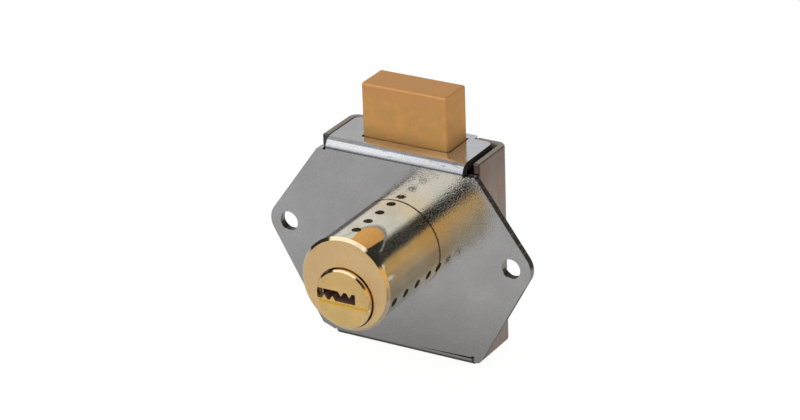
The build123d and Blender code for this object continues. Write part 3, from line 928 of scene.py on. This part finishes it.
class LOCK_OT_floor(bpy.types.Operator):
    """Pale floor under the lock"""

    bl_idname = "lock.floor"
    bl_label = "Floor"

    def execute(self, context):
        studio = context.scene.lock_studio
        deselect_all()
        bpy.ops.mesh.primitive_plane_add(size=studio.floor_size, location=(0, 0, PLATE_LOW.z))
        bpy.ops.object.transform_apply(location=True, rotation=True, scale=True)
        floor = context.active_object
        floor.name = "floor"
        material = bpy.data.materials.new("pale_floor")
        graph = Graph(material)
        ray = {name: graph.add("ShaderNodeLightPath", output=name) for name in (
            "Is Camera Ray", "Is Glossy Ray", "Is Transmission Ray",
        )}
        matt = graph.add("ShaderNodeBsdfDiffuse", None, {"Color": FLOOR_GREY})
        white = graph.add("ShaderNodeEmission", None, {
            "Color": (1, 1, 1, 1), "Strength": studio.backdrop_shade,
        })
        seen = (ray["Is Camera Ray"] + ray["Is Transmission Ray"]).limited() * FLOOR_WHITENESS
        pale = graph.add("ShaderNodeMixShader", None, {0: seen, 1: matt, 2: white})
        room_seen = graph.add("ShaderNodeBsdfTransparent", None, {"Color": (1, 1, 1, 1)})
        clear = ray["Is Glossy Ray"] * FLOOR_CLEARNESS
        mixed = graph.add("ShaderNodeMixShader", None, {0: clear, 1: pale, 2: room_seen})
        graph.add("ShaderNodeOutputMaterial", None, {"Surface": mixed})
        floor.data.materials.append(material)
        return {"FINISHED"}


class LOCK_OT_lights(bpy.types.Operator):
    """Soft white room with a large softbox at the upper left"""

    bl_idname = "lock.lights"
    bl_label = "Studio light"

    def execute(self, context):
        world = bpy.data.worlds.new("studio")
        context.scene.world = world
        graph = Graph(world)
        shade = room(graph, graph.add("ShaderNodeTexCoord", output="Generated"))
        camera = graph.add("ShaderNodeLightPath", output="Is Camera Ray")
        shade = graph.blend(camera, shade, (1, 1, 1))
        glow = graph.add("ShaderNodeBackground", None, {"Color": shade, "Strength": 1.0})
        graph.add("ShaderNodeOutputWorld", None, {"Surface": glow})
        return {"FINISHED"}


class LOCK_OT_camera(bpy.types.Operator):
    """Camera at the viewing angle of a product photograph"""

    bl_idname = "lock.camera"
    bl_label = "Camera"

    def execute(self, context):
        studio = context.scene.lock_studio
        back = unit_direction(studio.azimuth, studio.elevation)
        level = Vector((cos(studio.azimuth), sin(studio.azimuth), 0))
        upright = back.cross(level)
        right = cos(studio.roll) * level + sin(studio.roll) * upright
        up = cos(studio.roll) * upright - sin(studio.roll) * level
        data = bpy.data.cameras.new("camera")
        data.lens = studio.focal_length
        data.sensor_width = SENSOR_WIDTH
        camera = bpy.data.objects.new("camera", data)
        context.scene.collection.objects.link(camera)
        turn = Matrix((right, up, back)).transposed().to_4x4()
        place = back * studio.distance + right * studio.aim_right + up * studio.aim_up
        camera.matrix_world = Matrix.Translation(place) @ turn
        context.scene.camera = camera
        context.scene.view_settings.view_transform = "Standard"
        return {"FINISHED"}


class LOCK_PT_panel(bpy.types.Panel):
    """Steps that dress the lock, and the values that they read"""

    bl_idname = "LOCK_PT_panel"
    bl_label = "Drawer Lock"
    bl_space_type = "VIEW_3D"
    bl_region_type = "UI"
    bl_category = "Drawer Lock"

    def draw(self, context):
        for step in STEPS:
            self.layout.operator(step.bl_idname)
        for group in (context.scene.lock_finish, context.scene.lock_edges, context.scene.lock_studio):
            box = self.layout.box()
            for name in group.__annotations__:
                box.prop(group, name)


GROUPS = {"lock_finish": LockFinish, "lock_edges": LockEdges, "lock_studio": LockStudio}
STEPS = (
    LOCK_OT_camera, LOCK_OT_floor, LOCK_OT_lights, LOCK_OT_plate, LOCK_OT_cover,
    LOCK_OT_cylinder, LOCK_OT_pins, LOCK_OT_springs, LOCK_OT_drive, LOCK_OT_bolt,
)


def register():
    for part in (*GROUPS.values(), *STEPS, LOCK_PT_panel):
        bpy.utils.register_class(part)
    for name, group in GROUPS.items():
        setattr(bpy.types.Scene, name, PointerProperty(type=group))


def unregister():
    for name in GROUPS:
        delattr(bpy.types.Scene, name)
    for part in reversed((*GROUPS.values(), *STEPS, LOCK_PT_panel)):
        bpy.utils.unregister_class(part)


def main():
    register()
    bpy.ops.lock.camera()
    bpy.ops.lock.floor()
    bpy.ops.lock.lights()
    bpy.ops.lock.plate()
    bpy.ops.lock.cover()
    bpy.ops.lock.cylinder()
    bpy.ops.lock.pins()
    bpy.ops.lock.springs()
    bpy.ops.lock.drive()
    bpy.ops.lock.bolt()


if __name__ == "__main__":
    main()
